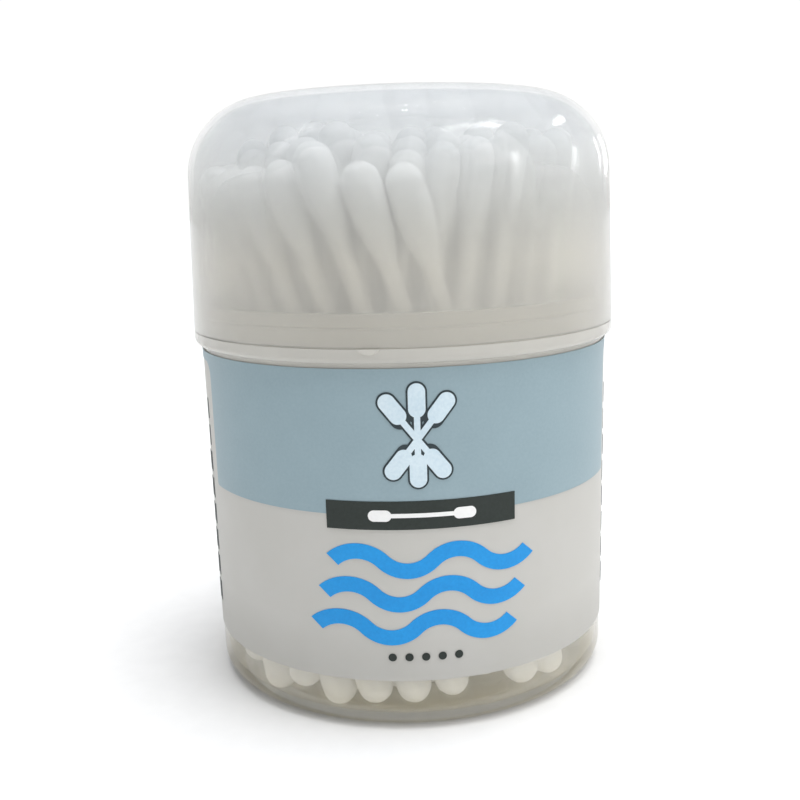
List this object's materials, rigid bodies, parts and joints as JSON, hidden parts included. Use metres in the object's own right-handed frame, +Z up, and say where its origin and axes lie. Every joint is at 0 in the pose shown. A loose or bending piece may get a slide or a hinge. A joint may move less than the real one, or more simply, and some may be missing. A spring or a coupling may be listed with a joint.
{
  "type": "cotton swab tub",
  "caption": "Round milky plastic tub with a domed lift-off lid and a wrap-around label, filled with upright double-ended cotton swabs.",
  "frame": {"origin": "centre of the ring that the tub stands on, at floor level", "axes": "+Z up along the axis of the tub and the lid; the label's front faces -Y"},
  "size_m": [0.062, 0.0623, 0.0854],
  "materials": {
    "tub_plastic": "clear to milky, moulded",
    "lid_plastic": "milky, polished",
    "label_film": "satin white film",
    "blue_print": "satin print",
    "dark_print": "satin print",
    "white_print": "satin print",
    "bright_blue_print": "satin print",
    "slate_print": "satin print",
    "pale_print": "satin print",
    "stick": "rolled paper, matt",
    "cotton": "wound cotton, matt"
  },
  "bodies": {
    "tub": {"tub": "tub_plastic", "label": "label_film", "label_blue_field": "blue_print", "label_banner": "dark_print", "label_banner_mark": "white_print", "label_waves": "bright_blue_print", "label_emblem": "slate_print", "label_emblem_fill": "pale_print", "label_dots": "dark_print", "label_side_rules": "slate_print", "sticks_round_1": "stick", "sticks_round_2": "stick", "sticks_round_3": "stick", "sticks_round_4": "stick", "sticks_round_5": "stick", "sticks_round_6": "stick", "top_buds_round_1": "cotton", "top_buds_round_2": "cotton", "top_buds_round_3": "cotton", "top_buds_round_4": "cotton", "top_buds_round_5": "cotton", "top_buds_round_6": "cotton", "foot_buds_round_1": "cotton", "foot_buds_round_2": "cotton", "foot_buds_round_3": "cotton", "foot_buds_round_4": "cotton", "foot_buds_round_5": "cotton", "foot_buds_round_6": "cotton"},
    "lid": {"lid": "lid_plastic"}
  },
  "joints": [
    {"name": "lid_lift", "type": "slide", "parent": "tub", "child": "lid", "axis": [0, 0, 1], "range_m": [0, 0.04]}
  ]
}
